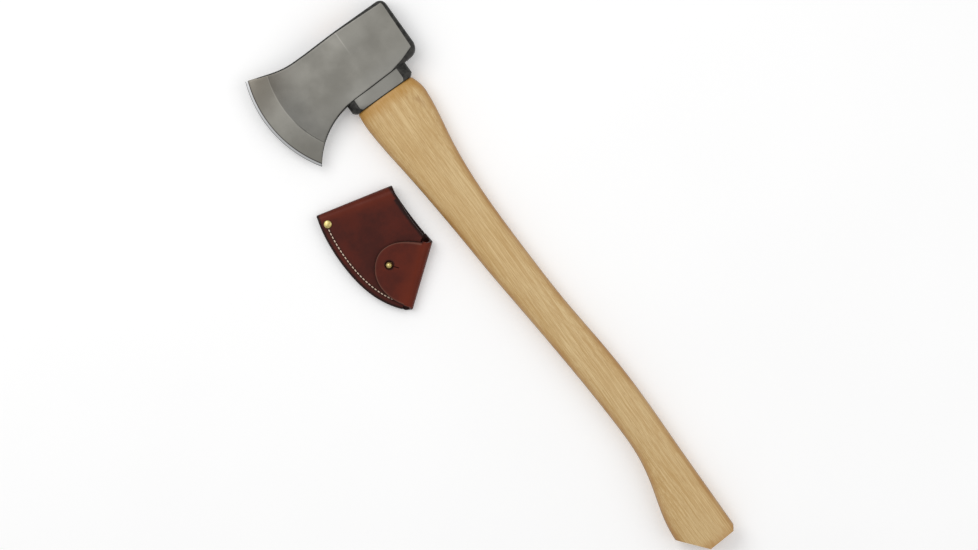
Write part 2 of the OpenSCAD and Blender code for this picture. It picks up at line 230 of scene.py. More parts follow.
def mark(piece, name, values):
    """Stores one number for each vertex, for the materials to read."""
    attribute = piece.data.attributes.new(name, "FLOAT", "POINT")
    attribute.data.foreach_set("value", np.asarray(values, np.float32))


def points_of(piece):
    co = np.zeros(len(piece.data.vertices) * 3, np.float32)
    piece.data.vertices.foreach_get("co", co)
    return co.reshape(-1, 3).astype(float) / MM


def settle(piece, node, body=None):
    """Stores each vertex's place at rest, in millimetres, for the materials, and hands the piece over."""
    attribute = piece.data.attributes.new("rest", "FLOAT_VECTOR", "POINT")
    attribute.data.foreach_set("vector", points_of(piece).astype(np.float32).ravel())
    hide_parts(node)
    if body:
        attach(piece, body)


def loft(rings, name="cutter", materials=()):
    patch = Patches()
    patch.tube(rings)
    return patch.piece(name, materials)


def circle(centre, axis, radius, side, count=64):
    """Ring of points about an axis; side is any direction square to the axis."""
    other = np.cross(axis, side)
    return [centre + radius * (side * math.cos(t) + other * math.sin(t)) for t in full_turn(count)]


def lathe(profile, centre, axis, name, material):
    """Solid turned about an axis; the profile is a row of (radius, height) from one end to the other."""
    axis = unit(axis)
    side = unit(np.cross(axis, [0.3, 1.0, 0.1]))
    return loft([circle(centre + axis * h, axis, r, side) for r, h in profile], name, [material])


def prism(outline, way, length):
    """Straight cutter from a closed outline of 3-D points."""
    ring = np.array(outline)
    return loft([ring, ring + np.array(way) * length])


# ---- node materials ----

class Shade:
    """Builds one node material by laying colours over each other. Places are in millimetres."""

    def __init__(self, name, from_rest=True):
        self.material = bpy.data.materials.new(name)
        self.material.use_nodes = True
        self.tree = self.material.node_tree
        self.tree.nodes.clear()
        if from_rest:
            self.place = self.node("ShaderNodeAttribute", attribute_name="rest").outputs["Vector"]
        else:
            self.place = self.vector("SCALE", self.node("ShaderNodeTexCoord").outputs["Object"])
            self.put(self.place.node.inputs["Scale"], 1 / MM)

    def node(self, kind, *values, **settings):
        """A node, with its first inputs filled in order."""
        made = self.tree.nodes.new(kind)
        for key, value in settings.items():
            setattr(made, key, value)
        for socket, value in zip(made.inputs, values):
            self.put(socket, value)
        return made

    def put(self, socket, value):
        if isinstance(value, bpy.types.NodeSocket):
            self.tree.links.new(value, socket)
        elif value is not None:
            socket.default_value = value

    def vector(self, operation, *values):
        made = self.node("ShaderNodeVectorMath", *values, operation=operation)
        return made.outputs["Value" if operation == "DISTANCE" else "Vector"]

    def math(self, operation, *values):
        return self.node("ShaderNodeMath", *values, operation=operation).outputs[0]

    def times(self, value, *others):
        for other in others:
            value = self.math("MULTIPLY", value, other)
        return value

    def noise(self, scale, detail=3.0, stretch=(1, 1, 1), rough=0.55, warp=0.0, shift=(0, 0, 0)):
        place = self.vector("MULTIPLY", self.vector("ADD", self.place, shift), stretch)
        made = self.node("ShaderNodeTexNoise", place)
        for key, value in (("Scale", scale), ("Detail", detail), ("Roughness", rough), ("Distortion", warp)):
            self.put(made.inputs[key], value)
        return made.outputs["Fac"]

    def cells(self, scale, feature="F1"):
        made = self.node("ShaderNodeTexVoronoi", self.place, feature=feature)
        self.put(made.inputs["Scale"], scale)
        return made.outputs["Distance"]

    def span(self, value, low, high, to_low=0.0, to_high=1.0):
        """Smooth step of a value between two limits, which may run downwards."""
        return self.node("ShaderNodeMapRange", value, low, high, to_low, to_high,
                         interpolation_type="SMOOTHSTEP").outputs[0]

    def mix(self, amount, a, b, blend="MIX"):
        made = self.node("ShaderNodeMix", amount, data_type="RGBA", blend_type=blend)
        self.put(made.inputs[6], a)
        self.put(made.inputs[7], b)
        return made.outputs[2]

    def lay(self, base, *layers):
        """Lays colours over a base; each layer is where it shows, how strongly, and its colour."""
        for amount, strength, tone in layers:
            base = self.mix(self.times(amount, strength), base, tone)
        return base

    def part(self, axis):
        return self.node("ShaderNodeSeparateXYZ", self.place).outputs[axis]

    def facing(self, axis):
        """How much the surface faces along an axis, 0 to 1."""
        normal = self.node("ShaderNodeNewGeometry").outputs["Normal"]
        return self.math("ABSOLUTE", self.node("ShaderNodeSeparateXYZ", normal).outputs[axis])

    def stored(self, name):
        return self.node("ShaderNodeAttribute", attribute_name=name).outputs["Fac"]

    def bump(self, height, depth, strength=1.0, under=None):
        made = self.node("ShaderNodeBump")
        for key, value in (("Strength", strength), ("Distance", depth * MM), ("Height", height),
                           ("Normal", under)):
            self.put(made.inputs[key], value)
        return made.outputs[0]

    def finish(self, **inputs):
        shader = self.node("ShaderNodeBsdfPrincipled")
        for key, value in inputs.items():
            self.put(shader.inputs[key.replace("_", " ")], value)
        self.node("ShaderNodeOutputMaterial", shader.outputs[0])
        return self.material


def colour(red, green, blue):
    """A colour given as 0-255 screen values."""
    screen = np.array([red, green, blue]) / 255
    linear = np.where(screen > 10 / 255, ((screen + 0.055) / 1.055) ** 2.4, screen / 12.92)
    return (*linear.tolist(), 1)


def polished_steel(centre, radius, ground_w):
    """Ground forged steel: fine scratches, faint random smudges, painted shade and highlights, and a bright
    sharpened bevel.
    """
    s = Shade("polished_steel")
    x, y = s.part(0), s.part(1)
    to_centre = s.vector("DISTANCE", s.vector("MULTIPLY", s.place, (1, 1, 0)), (*centre, 0))
    behind = s.math("SUBTRACT", radius, to_centre)      # distance behind the cutting edge
    scratches = s.noise(1.0, 4, (0.35, 9, 9), 0.7)
    cloud = s.noise(0.03, 3, (1, 1, 0.5), 0.5)
    # painted shade: the ground face darkens just behind the grind line and fades out towards the poll,
    # standing in for a dark reflection; noise makes it uneven
    painted_dark_reflection = s.times(s.span(behind, ground_w - 0.2, ground_w + 0.4), s.span(behind, 62, 24),
                         s.span(s.noise(0.03, 3), 0.25, 0.65, 0.55, 1.0))
    grind_line = s.times(s.span(behind, ground_w + 0.6, ground_w - 0.4),
                         s.span(behind, ground_w - 1.4, ground_w - 0.4))
    # painted highlight: a light stripe near where the flat cheek turns into the taper
    painted_crease_highlight = s.times(s.span(x, -4.2, -3.2), s.span(x, -2.2, -3.2), s.span(y, 8, 30))
    base = s.lay(
        s.mix(s.span(cloud, 0.30, 0.72), colour(127, 125, 118), colour(142, 140, 133)),
        (s.span(s.noise(0.35, 3, rough=0.6), 0.56, 0.78), 0.12, colour(98, 96, 90)),
        (painted_dark_reflection, 0.60, colour(84, 84, 82)),
        (s.times(s.span(x, -40, -95), s.span(y, -5, 45)), 0.5, colour(96, 86, 73)),
        # painted highlight: the cheek lightens towards its lower edge, away from the blade
        (s.times(s.span(y, -6, -22), s.span(x, -70, -20)), 0.45, colour(146, 145, 140)),
        (s.span(scratches, 0.35, 0.75), 0.20, colour(150, 149, 144)),
        (painted_crease_highlight, 0.4, colour(184, 181, 174)),
        (grind_line, 0.22, colour(166, 164, 158)),
        (s.times(s.span(behind, 3.7, 2.9), s.span(behind, 2.2, 2.6)), 0.8, colour(46, 44, 42)),
        (s.span(behind, 2.5, 2.25), 1.0, colour(206, 207, 208)),
        (s.span(behind, 0.75, 0.25), 1.0, colour(120, 120, 120)))
    rough = s.math("ADD", s.span(cloud, 0.3, 0.7, 0.42, 0.30), s.times(scratches, 0.14))
    normal = s.bump(scratches, 0.012, 0.5, s.bump(cloud, 0.25, 0.35))
    return s.finish(Base_Color=base, Metallic=1.0, Roughness=rough, Normal=normal)


def forge_scale():
    """Black oxide left by the forge: dark, mottled and slightly pitted."""
    s = Shade("forge_scale")
    mottle = s.noise(0.25, 5, rough=0.65)
    base = s.lay(s.mix(s.span(mottle, 0.3, 0.7), colour(38, 38, 37), colour(76, 75, 72)),
                 (s.span(s.noise(0.9, 3), 0.62, 0.8), 0.4, colour(112, 108, 100)))
    normal = s.bump(s.math("ADD", mottle, s.times(s.cells(0.8), 0.4)), 0.16, 0.7)
    rough = s.span(mottle, 0.3, 0.7, 0.46, 0.62)
    return s.finish(Base_Color=base, Metallic=0.75, Roughness=rough, Normal=normal)


def hickory(name, shoulder, butt, tint=(1, 1, 1), from_rest=True):
    """Oiled straight-grained hickory: growth rings, pores, painted shade on the sides and outline, and darker
    end grain.
    """
    s = Shade(name, from_rest)
    # growth rings lie almost along the handle, so they show as long, slightly waving bands
    depth = s.times(s.noise(0.006, 2, (1, 0.6, 1), 0.5), 95.0)
    for axis, slant in enumerate((0.62, 0.055, 0.78)):
        depth = s.math("ADD", depth, s.times(s.part(axis), slant))
    ring = s.math("FRACT", s.times(depth, 0.34))
    fibre = s.noise(1.0, 4, (3.2, 0.045, 3.2), 0.65)
    pores = s.noise(1.0, 3, (7.5, 0.11, 7.5), 0.6, shift=(40, 0, 9))
    streak = s.noise(1.0, 3, (0.85, 0.011, 0.85), 0.6, shift=(3, 0, 21))
    # painted shade: the wood darkens and turns orange-brown where its surface turns away from straight up,
    # darkest at the outline
    edge = s.math("SUBTRACT", 1.0, s.facing(2))
    ripple = s.span(s.noise(0.02, 2, shift=(5, 1, 2)), 0.3, 0.7, 0.55, 1.0)
    smudge = s.span(s.noise(0.11, 4, (1, 0.4, 1), shift=(7, 3, 1)), 0.58, 0.74)
    ragged = s.math("ADD", s.part(1), s.times(s.noise(0.22, 3, (1, 0.3, 1)), 16.0))
    broad = s.span(s.noise(0.035, 3, (1, 0.25, 1), 0.5), 0.34, 0.68)
    base = s.lay(
        s.mix(broad, colour(212, 180, 124), colour(222, 194, 142)),
        (s.times(s.span(ring, 0.45, 0.93), s.span(ring, 1.0, 0.94)), 0.30, colour(194, 152, 88)),
        (s.span(fibre, 0.40, 0.66), 0.75, colour(190, 150, 92)),
        (s.span(pores, 0.54, 0.70), 0.70, colour(164, 122, 68)),
        (s.span(streak, 0.50, 0.66), 0.50, colour(186, 144, 80)),
        (s.span(streak, 0.46, 0.34), 0.50, colour(232, 204, 152)),
        (s.times(ripple, s.span(edge, 0.03, 0.42)), 0.85, colour(166, 114, 42)),
        (s.span(edge, 0.48, 0.88), 0.60, colour(98, 70, 34)),
        (s.span(ragged, shoulder - 10, shoulder + 5), 0.66, colour(182, 130, 42)),
        (s.times(smudge, s.span(s.part(1), shoulder - 42, shoulder - 8)), 0.5, colour(150, 98, 44)),
        (s.span(ragged, butt + 20, butt + 7), 0.5, colour(170, 116, 48)),
        (s.span(s.facing(1), 0.50, 0.70), 0.65, colour(142, 94, 42)))
    base = s.mix(1.0, base, tint + (1,), "MULTIPLY")
    normal = s.bump(s.math("ADD", s.times(fibre, -0.5), s.times(pores, -0.7)), 0.07, 0.55)
    return s.finish(Base_Color=base, Roughness=s.span(fibre, 0.3, 0.7, 0.40, 0.52), Normal=normal,
                    Coat_Weight=0.10, Coat_Roughness=0.35)


def leather(name, face, deep, red):
    """Vegetable-tanned leather with a fine grain; stored marks say where it is burnished, reddened with a
    painted highlight on a fold, darkened by dye or painted shade, or pale.
    """
    s = Shade(name)
    cloud = s.noise(0.06, 4, rough=0.6)
    grain = s.cells(1.5, "SMOOTH_F1")
    creases = s.noise(0.5, 5, rough=0.7, warp=0.8)
    rim = s.span(s.math("ADD", s.stored("edge"), s.times(s.noise(0.4, 3), 0.7)), 1.75, 0.85)
    base = s.lay(
        s.mix(s.span(cloud, 0.32, 0.68), deep, face),
        (s.span(creases, 0.5, 0.75), 0.35, deep),
        # the folds are reddened where the leather is stretched, with a painted highlight along them
        (s.stored("fold_red_and_highlight"), 0.75, red),
        (s.span(grain, 0.15, 0.6), 0.16, face),
        (s.stored("pale"), 0.55, colour(122, 86, 72)),
        (rim, 0.92, colour(30, 14, 11)),
        # dark marks: the stitch line and the welt, with painted shade in the pocket and round the button hole
        (s.stored("dark"), 0.85, colour(28, 13, 10)))
    height = s.math("ADD", s.times(grain, 0.6), s.times(creases, 0.5))
    rough = s.math("ADD", s.span(cloud, 0.3, 0.7, 0.50, 0.40), s.times(rim, -0.10))
    return s.finish(Base_Color=base, Roughness=rough, Normal=s.bump(height, 0.10, 0.6), Coat_Weight=0.03,
                    Coat_Roughness=0.45, Specular_IOR_Level=0.14)


def waxed_thread():
    """Waxed cream thread with the twist of its strands."""
    s = Shade("waxed_thread")
    twist = s.noise(1.0, 2, (3, 3, 3), 0.6)
    base = s.mix(s.span(twist, 0.35, 0.7), colour(206, 178, 152), colour(240, 222, 202))
    return s.finish(Base_Color=base, Roughness=0.62, Normal=s.bump(twist, 0.12, 0.7), Sheen_Weight=0.2)


def turned_brass(name, from_rest=True):
    """Brass with handling marks and a little tarnish."""
    s = Shade(name, from_rest)
    tarnish = s.noise(0.55, 4, rough=0.6)
    marks = s.noise(3.0, 3, (1, 4, 1), 0.6)
    base = s.lay(s.mix(s.span(tarnish, 0.3, 0.7), colour(196, 176, 104), colour(230, 216, 150)),
                 (s.span(marks, 0.6, 0.8), 0.3, colour(140, 116, 60)))
    return s.finish(Base_Color=base, Metallic=1.0, Roughness=s.span(tarnish, 0.3, 0.7, 0.48, 0.34),
                    Normal=s.bump(marks, 0.02, 0.4))


def rusted_steel(name):
    s = Shade(name, False)
    rust = s.noise(0.7, 4, rough=0.65)
    base = s.mix(s.span(rust, 0.4, 0.7), colour(96, 92, 88), colour(140, 118, 96))
    return s.finish(Base_Color=base, Metallic=0.85, Roughness=s.span(rust, 0.3, 0.7, 0.38, 0.6),
                    Normal=s.bump(rust, 0.08, 0.5))


# ---- head ----

def circle_through(a, b, c):
    matrix = 2 * np.array([b - a, c - a])
    centre = np.linalg.solve(matrix, [b @ b - a @ a, c @ c - a @ a])
    return centre, np.linalg.norm(a - centre)


class HeadShape:
    """The head's outline, edge arc and thickness, read off its CAD node."""
    GROUND_W = 22.0         # width of the ground face behind the edge
    POLL_ROUND = 11.0       # the poll's corners lie within this of its face
    THICK_FROM = -27        # x from which the outline can be taken 10 mm beside the middle
    COLLAR_X = (-38, 35)    # x between which the collar hangs below the cheeks
    BRIGHT_TO = -88         # x up to which the chamfer is bright, being part of the ground edge

    def __init__(self):
        self.tree = cad_tree("head")
        self.low, self.high = cad_box_of("head")
        self.mid = (self.low[2] + self.high[2]) / 2
        edge = [hit(self.tree, (-FAR, y, self.mid), (1, 0, 0))[:2]
                for y in (self.low[1] + 4, 0.0, self.high[1] - 4)]
        self.centre, self.radius = circle_through(*edge)
        self.poll = self.high[0]
        xs = np.arange(self.centre[0] - self.radius + 0.1, self.poll - 4, 0.5)
        raw = np.array([hit(self.tree, (x, self.centre[1], OUT), DOWN)[2] - self.mid for x in xs])
        self.profile = xs, raw
        start = self.centre[0] - self.radius + self.GROUND_W
        body = xs >= start
        slope, at = np.polyfit(xs[body][:20], raw[body][:20], 1)
        smooth = soften(np.where(body, raw, slope * xs + at), 7)
        self.taper = xs, smooth
        left = np.arange(self.low[0], self.THICK_FROM, 0.8)
        right = self.poll - self.POLL_ROUND * (1 - np.sin(np.linspace(0, math.pi / 2, 24)))
        right[-1] -= 0.02
        whole = np.concatenate([left, np.arange(self.THICK_FROM, right[0], 1.0), right])
        levels = self.mid + np.where(whole < self.THICK_FROM, 0.0, 10.0)
        top = [hit(self.tree, (x, OUT, z), (0, -1, 0)) for x, z in zip(whole, levels)]
        self.top = self.filled(whole, top)
        self.bottom = self.filled(whole, [self.under(x) for x in whole])

    @staticmethod
    def filled(xs, places):
        ys = np.array([np.nan if p is None else p[1] for p in places])
        good = ~np.isnan(ys)
        return xs[good], ys[good]

    def under(self, x):
        """The cheek's lower outline, found just inside its face where the collar hangs below it."""
        half = float(np.interp(x, *self.profile))
        first, last = self.COLLAR_X
        z = 0.0 if x < first else half - 0.12 if x < last else 0.72 * half
        return hit(self.tree, (x, -OUT, self.mid + z), (0, 1, 0))

    def cheek(self, x):
        return np.interp(x, *self.taper)

    def half(self, x, y):
        """Half thickness of the head at a point."""
        r = np.hypot(x - self.centre[0], y - self.centre[1])
        ground = np.interp(self.centre[0] - r, *self.profile)
        inner = self.radius - self.GROUND_W
        return np.where(r > inner, np.minimum(self.cheek(x), ground), self.cheek(x))

    def arc_end(self, r, side):
        """Angle at which the arc of radius r leaves the outline on one side."""
        line = self.top if side > 0 else self.bottom
        r = min(r, self.radius - 0.4)
        inside, outside = math.pi, math.pi - side * 1.0
        for _ in range(40):
            a = (inside + outside) / 2
            x, y = self.centre[0] + r * math.cos(a), self.centre[1] + r * math.sin(a)
            beyond = (y - np.interp(x, *line)) * side > 0
            inside, outside = (inside, a) if beyond else (a, outside)
        return inside

    def arc_points(self, r, a0, a1, count):
        a = np.linspace(a0, a1, count)
        return np.column_stack([self.centre[0] + r * np.cos(a), self.centre[1] + r * np.sin(a)])


# Width of the dark chamfer round the cheek, as (x, width) along the top and the bottom, and at the poll
TOP_CHAMFER = [(-98, 0.35), (-88, 0.9), (-60, 1.5), (0, 1.7), (38, 3.0), (52, 3.2)]
BOTTOM_CHAMFER = [(-86, 0.35), (-60, 0.9), (-33, 1.3), (20, 1.0), (33, 2.2), (52, 4.4)]
POLL_CHAMFER = 1.8
# The facet at the poll's lower corner: distance from the poll, and height of the cheek's face above its
# lower line
FACET = [(31.7, 1.2), (18.7, 4.0), (4.5, 9.0), (1.8, 12.8)]


def head_columns(shape, rows):
    """Inner grid of the cheek, and its outline above, below and at the poll, all in plan."""
    inner, above, below = [], [], []
    steps = np.concatenate([np.arange(0, 3.3, 0.3), np.arange(3.6, 20, 1.1),
                            [20.6, 21.2, 21.8, 22.2, 22.8, 24, 25.5]])
    for r in shape.radius - steps:
        a1, a0 = shape.arc_end(r, 1), shape.arc_end(r, -1)
        ends = shape.arc_points(r, a0, a1, 2)
        w0 = np.interp(ends[0][0], *zip(*BOTTOM_CHAMFER)) / r
        w1 = np.interp(ends[1][0], *zip(*TOP_CHAMFER)) / r
        below.append(ends[0])
        above.append(ends[1])
        inner.append(shape.arc_points(r, a0 - w0, a1 + w1, rows))
    count, corner = 76, 16
    flat_end = shape.poll - shape.POLL_ROUND

    def spread(x0):
        run = np.linspace(x0, flat_end, count)[1:]
        turn = flat_end + shape.POLL_ROUND * np.sin(np.linspace(0, math.pi / 2, corner))[1:]
        return np.concatenate([[x0], run, turn])

    sides = []
    for start, line, widths, side in ((below[-1], shape.bottom, BOTTOM_CHAMFER, -1),
                                      (above[-1], shape.top, TOP_CHAMFER, 1)):
        x = spread(start[0])
        line_points = np.column_stack([x, np.interp(x, *line)])
        tangent = np.gradient(line_points, axis=0)
        normal = unit(np.column_stack([-tangent[:, 1], tangent[:, 0]]) * side)
        normal[-1] = (1, 0)
        width = np.interp(x, *zip(*widths))[:, None]
        inset = line_points - normal * width
        inset[:, 0] = np.minimum(inset[:, 0], shape.poll - POLL_CHAMFER)
        if side > 0:
            corner_y = line_points[-corner - 1, 1] - widths[-1][1]
            near = x > flat_end
            inset[near, 1] = np.minimum(line_points[near, 1], corner_y)
        else:
            away, rise = np.array(FACET[::-1]).T
            near = x > shape.poll - away[-1]
            base = np.interp(shape.poll - away[-1], *line)
            inset[near, 1] = base + np.interp(shape.poll - inset[near, 0], away, rise)
            inset[near, 1] = np.maximum(inset[near, 1], line_points[near, 1] + 0.3)
        inset[0] = inner[-1][0] if side < 0 else inner[-1][-1]
        sides.append((line_points, inset))
    (low_line, low_in), (top_line, top_in) = sides
    heights = np.linspace(low_line[-1][1], top_line[-1][1], rows)
    poll_line = np.column_stack([np.full(rows, shape.poll), heights])
    poll_in = between(low_in[-1], top_in[-1], np.linspace(0, 1, rows))
    u = (low_in[:, 0] + top_in[:, 0]) / 2
    u = (u - u[0]) / (u[-1] - u[0])
    body = coons(inner[-1], poll_in, low_in, top_in, u)
    grid = np.concatenate([np.array(inner), body[1:]])
    above = np.concatenate([np.array(above), top_line[1:]])
    below = np.concatenate([np.array(below), low_line[1:]])
    return grid, above, below, poll_line


def raised(shape, plan, side):
    """Gives plan points the cheek's height, with the faint waviness of hand grinding."""
    flat = plan.reshape(-1, 2)
    half = shape.half(flat[:, 0], flat[:, 1])
    wave = np.array([noise.noise(Vector((x / 17, y / 17, 5.0 + side))) for x, y in flat])
    half = half + 0.10 * wave * np.clip(half / 6, 0, 1)
    return np.column_stack([flat, shape.mid + side * half]).reshape(plan.shape[:-1] + (3,))


def build_head():
    shape = HeadShape()
    rows, steps, wall_rows = 64, 6, 7
    grid, above, below, poll_line = head_columns(shape, rows)
    patch = Patches()
    loop_in = np.concatenate([grid[:, -1], grid[-1, ::-1][1:], grid[::-1, 0][1:]])
    loop_out = np.concatenate([above, poll_line[::-1][1:], below[::-1][1:]])
    width = np.linalg.norm(loop_out - loop_in, axis=1)
    rims, ends = {}, {}
    for side in (1, -1):
        face = raised(shape, grid, side)
        patch.grid(face)
        inner_z = np.concatenate([face[:, -1, 2], face[-1, ::-1, 2][1:], face[::-1, 0, 2][1:]])
        drop = np.minimum(1.15 * width, 0.72 * np.abs(inner_z - shape.mid))
        turn = np.linspace(0, math.pi / 2, steps)[:, None]
        plan = loop_in + (loop_out - loop_in) * np.sin(turn)[..., None]
        height = inner_z - side * drop * (1 - np.cos(turn))
        border = np.concatenate([plan, height[..., None]], axis=2)
        patch.grid(border, slot=lambda i, j: 0 if loop_in[j, 0] < shape.BRIGHT_TO else 1)
        rims[side] = border[-1]
        # the cutting edge's own column, from the lower outline to the upper one
        ends[side] = np.concatenate([border[::-1, -1], face[0][1:-1], border[:, 0]])
    t = np.linspace(0, 1, wall_rows)[:, None, None]
    patch.grid(rims[1][None] * (1 - t) + rims[-1][None] * t, slot=1)
    patch.grid(ends[1][None] * (1 - t) + ends[-1][None] * t)
    steel, scale = polished_steel(shape.centre, shape.radius, shape.GROUND_W), forge_scale()
    head = patch.piece("forged_head", [steel, scale], sharp=50)
    boolean(head, collar_blank(shape), "UNION")
    boolean(head, eye_cutter(shape), "DIFFERENCE")
    finish_shading(head, 42)
    settle(head, "head", "hatchet")
    return shape


def collar_blank(shape):
    """The collar below the cheeks, from inside the head to its lower end."""
    tree, mid, rim, count = shape.tree, shape.mid, 0.7, 112
    lower = hit(tree, (shape.poll * 0.56, -OUT, mid), (0, 1, 0))[1]
    width = 2 * (hit(tree, (0, lower + 5, OUT), DOWN)[2] - mid)
    rings = []
    for y in (-20.0, -26.0, *(lower + np.array([8, 5, 3.1, 2, 1.2, rim, 0.3 * rim, 0]))):
        level = max(min(y, lower + 8), lower + 0.05)
        front = hit(tree, (-0.82 * shape.poll, level, mid), (1, 0, 0))[0]
        back = hit(tree, (OUT, level, mid), (-1, 0, 0))[0]
        tuck = rim * (1 - math.sqrt(max(0.0, 1 - (1 - min(1.0, (y - lower) / rim)) ** 2)))
        section = oval(back - front - 2 * tuck, width - 2 * tuck, 3.2, count)
        rings.append(level_ring(section, y, mid, (front + back) / 2))
    x = rings[2][:, 0]
    bright = np.abs(x - x.mean()) < 0.36 * np.ptp(x)
    patch = Patches()
    patch.tube(rings, lambda i, j: 0 if bright[j] and i < 7 else 1, 1)
    return patch.piece("collar", [], 50)


def eye_cutter(shape):
    """The eye's bore, from 70 mm below its centre to 70 mm above."""
    below = (0, -30, shape.mid)
    reach = hit(shape.tree, below, (1, 0, 0))[0], hit(shape.tree, below, UP)[2] - shape.mid
    section = oval(2 * reach[0], 2 * reach[1], EYE_POWER, 112)
    return loft([level_ring(section, y, shape.mid) for y in (-70.0, 70.0)])


# ---- handle ----

KNOB_CUTS = (16.0, -9.0, 31.6)      # x at which the knob's end faces are found, the square end first


def handle_rings(tree, mid, low, count):
    """Rings of the grip and knob from the collar down, evened out along their length."""
    ys = np.concatenate([np.arange(GRIP_TOP, -60, -1.5), np.arange(-60, low[1] - 4, -4.0)])
    front, back, thick = [], [], []
    for y in ys:
        level = max(y, low[1] + 30)
        front.append(hit(tree, (-OUT, level, mid), (1, 0, 0))[0])
        back.append(hit(tree, (OUT, max(y, low[1] + 12), mid), (-1, 0, 0))[0])
        centre = (front[-1] + back[-1]) / 2
        thick.append(2 * (hit(tree, (centre, level, OUT), DOWN)[2] - mid))
    even = np.linspace(0, 1, len(ys))
    for row in (front, back, thick):
        row[:] = np.interp(even, even, soften(np.array(row), 2.2))
    rings = []
    for y, x0, x1, t in zip(ys, front, back, thick):
        edge = 0.6 * (1 - math.sqrt(max(0.0, 1 - max(0.0, 1 - (GRIP_TOP - y) / 1.5) ** 2)))
        power = 2.25 + 0.35 * float(smoothstep((-y - 480) / 50))
        section = oval(x1 - x0 - 2 * edge, t - 2 * edge, power, count)
        rings.append(level_ring(section, y, mid, (x0 + x1) / 2))
    return rings


def cut_end(piece, tree, x, low_y, mid):
    """Trims the knob along the CAD's own end face below x, and closes the cut."""
    place, normal = tree.ray_cast(Vector((x, low_y - 50, mid)), Vector((0, 1, 0)))[:2]
    bm = bmesh.new()
    bm.from_mesh(piece.data)
    result = bmesh.ops.bisect_plane(bm, geom=bm.verts[:] + bm.edges[:] + bm.faces[:], dist=1e-7,
                                    plane_co=place * MM, plane_no=normal, clear_outer=True)
    cut = [e for e in result["geom_cut"] if isinstance(e, bmesh.types.BMEdge)]
    bmesh.ops.contextual_create(bm, geom=cut)
    bmesh.ops.recalc_face_normals(bm, faces=bm.faces)
    bm.to_mesh(piece.data)
    bm.free()


def wedge_slot(node, mid, across):
    """Cutter the size of a driven wedge, run on past the top of the eye."""
    tree = cad_tree(node)
    low, high = cad_box_of(node)
    way = np.array([1.0, 0, 0] if across else [0, 0, 1.0])
    thick = np.array([0, 0, 1.0] if across else [1.0, 0, 0])
    index = 2 if across else 0
    halves = []
    for y in (low[1] + 0.5, high[1] - 0.5):
        place = hit(tree, np.array([0, y, mid]) + way * (10.0 if across else 2.0) + thick * 50, -thick)
        halves.append(abs(place[index] - (mid if across else 0)) + 0.03)
    slope = (halves[1] - halves[0]) / (high[1] - low[1] - 1)
    y0, y1 = low[1] - 0.1, high[1] + 6
    t0, t1 = halves[0] - 0.5 * slope, halves[1] + 6.5 * slope
    reach = 60.0 if across else high[2] - low[2] + 0.1
    base = np.array([0, 0, mid]) - way * reach / 2
    corners = (t0, y0), (t1, y1), (-t1, y1), (-t0, y0)
    return prism([base + thick * t + [0, y, 0] for t, y in corners], way, reach)


def build_handle(shape):
    tree = cad_tree("handle")
    low, high = cad_box_of("handle")
    mid, count = shape.mid, 72
    length, width = hit(tree, (OUT, -10.0, mid), (-1, 0, 0))[0], hit(tree, (0, -30.0, OUT), DOWN)[2] - mid
    section = oval(2 * length, 2 * width, EYE_POWER, count)
    # the tongue fills the eye, with a slightly eased top
    heights = (high[1], 0.985), (high[1] - 0.4, 1), (20, 1), (-8, 1), (-30, 1), (GRIP_TOP, 1)
    tongue = [level_ring(section * k, y, mid) for y, k in heights]
    wood = loft(tongue + handle_rings(tree, mid, low, count), "hickory_handle")
    for x in KNOB_CUTS:
        cut_end(wood, tree, x, low[1], mid)
    bevel = wood.modifiers.new("rim", "BEVEL")
    bevel.width, bevel.segments, bevel.use_clamp_overlap = 1.3 * MM, 4, True
    bevel.limit_method, bevel.angle_limit = "ANGLE", math.radians(24)
    bake(wood)
    boolean(wood, wedge_slot("wood_wedge", mid, True), "DIFFERENCE")
    boolean(wood, wedge_slot("steel_wedge", mid, False), "DIFFERENCE")
    wood.data.materials.clear()
    wood.data.materials.append(hickory("hickory", GRIP_TOP, float(low[1])))
    finish_shading(wood, 38)
    settle(wood, "handle", "hatchet")


def dress_cad_nodes():
    """CAD pieces whose shapes are already right get their materials and eased edges."""
    # the wedge has neither the handle's shoulder nor its butt, so both lie far beyond it
    wedge_wood = hickory("wedge_wood", 300.0, -900.0, (0.86, 0.78, 0.68), False)
    wedge_steel = rusted_steel("wedge_steel")
    brass = turned_brass("brass_fittings", False)
    for node, material, ease in (("wood_wedge", wedge_wood, 0.12), ("steel_wedge", wedge_steel, 0.12),
                                 ("rivet_post", brass, 0.15), ("stud_screw", brass, 0.1)):
        piece = frame["nodes"][node]
        piece.data.materials.clear()
        piece.data.materials.append(material)
        bevel = piece.modifiers.new("eased_edges", "BEVEL")
        bevel.width, bevel.segments, bevel.limit_method = ease * MM, 2, "ANGLE"
        bevel.angle_limit = math.radians(40)


# ---- sheath layout ----

